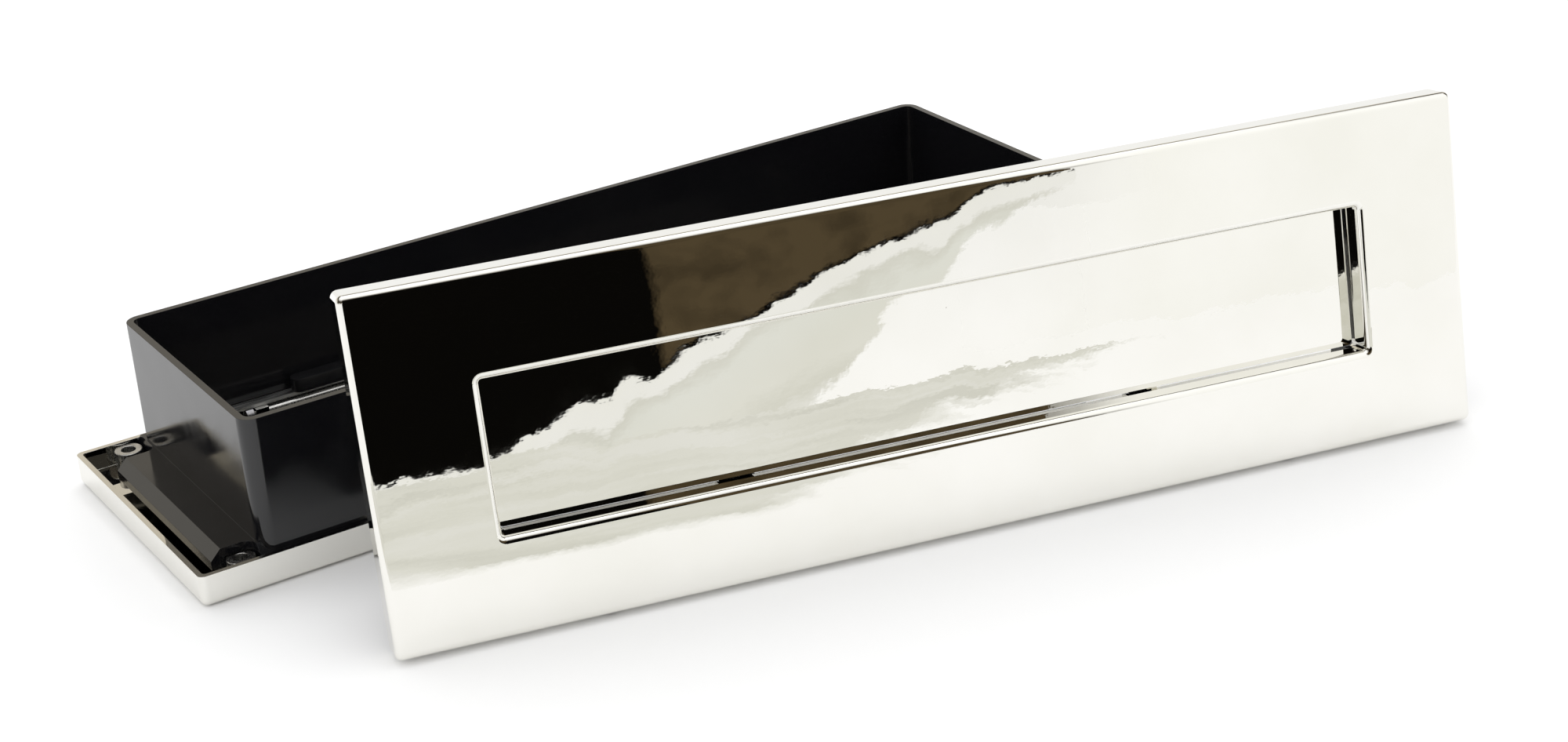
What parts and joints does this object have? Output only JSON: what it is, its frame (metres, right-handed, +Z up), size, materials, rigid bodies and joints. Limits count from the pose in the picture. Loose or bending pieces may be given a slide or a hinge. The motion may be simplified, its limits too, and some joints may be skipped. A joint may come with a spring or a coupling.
{
  "type": "letter plate",
  "caption": "Two-part door letter plate: dished polished plates with sprung flaps on hinge rods, and a telescopic black duct that lines the slot through the door.",
  "frame": {"origin": "centre of the set's footprint, on the surface that both units stand on", "axes": "+X along the outer plate, +Y away from the standing inner unit towards the outer plate's hinge side, +Z up out of the outer unit's sleeve"},
  "size_m": [0.3398, 0.2304, 0.0957],
  "materials": {
    "polished_nickel": "polished nickel plate on a cast body, mirror bright with a warm tint",
    "steel": "zinc plated steel",
    "spring_steel": "drawn spring wire",
    "satin_steel": "satin steel strip",
    "dark_steel": "black oxide steel",
    "black_bar": "smooth black plastic",
    "black_plastic": "moulded black plastic, satin gloss",
    "rubber": "soft black rubber"
  },
  "bodies": {
    "outer_unit": {"outer_frame": "polished_nickel", "outer_threaded_bosses": "steel", "outer_hinge_rod": "steel", "outer_rod_clips": "steel", "outer_flap_spring_left": "spring_steel", "outer_flap_spring_right": "spring_steel", "outer_hinge_bracket": "satin_steel", "outer_hinge_bar": "black_bar", "outer_bracket_screws": "steel", "outer_flap_buffers": "rubber", "outer_sleeve": "black_plastic", "outer_sleeve_screws": "steel"},
    "outer_flap": {"outer_flap": "polished_nickel"},
    "inner_unit": {"inner_frame": "polished_nickel", "inner_hinge_rod": "steel", "inner_rod_clips": "steel", "inner_flap_spring_left": "spring_steel", "inner_flap_spring_right": "spring_steel", "inner_flap_buffers": "rubber", "inner_sleeve": "black_plastic", "inner_grub_screws": "dark_steel"},
    "inner_flap": {"inner_flap": "polished_nickel"}
  },
  "joints": [
    {"name": "outer_flap_hinge", "type": "hinge", "parent": "outer_unit", "child": "outer_flap", "pos_m": [-0.01242, 0.10439, 0.0102], "axis": [-1, 0, 0], "range_deg": [0, 45], "stiffness_Nm_per_rad": 0.02, "springref_deg": -28.65, "deforming": ["outer_flap_spring_left", "outer_flap_spring_right"]},
    {"name": "inner_unit_lift", "type": "slide", "parent": "outer_unit", "child": "inner_unit", "axis": [0, 0, 1], "range_m": [0, 0.12]},
    {"name": "inner_flap_hinge", "type": "hinge", "parent": "inner_unit", "child": "inner_flap", "pos_m": [0.01567, -0.05749, 0.06965], "axis": [-0.9726, 0.2324, 0], "range_deg": [0, 54], "stiffness_Nm_per_rad": 0.02, "springref_deg": -28.65, "deforming": ["inner_flap_spring_left", "inner_flap_spring_right"]}
  ]
}
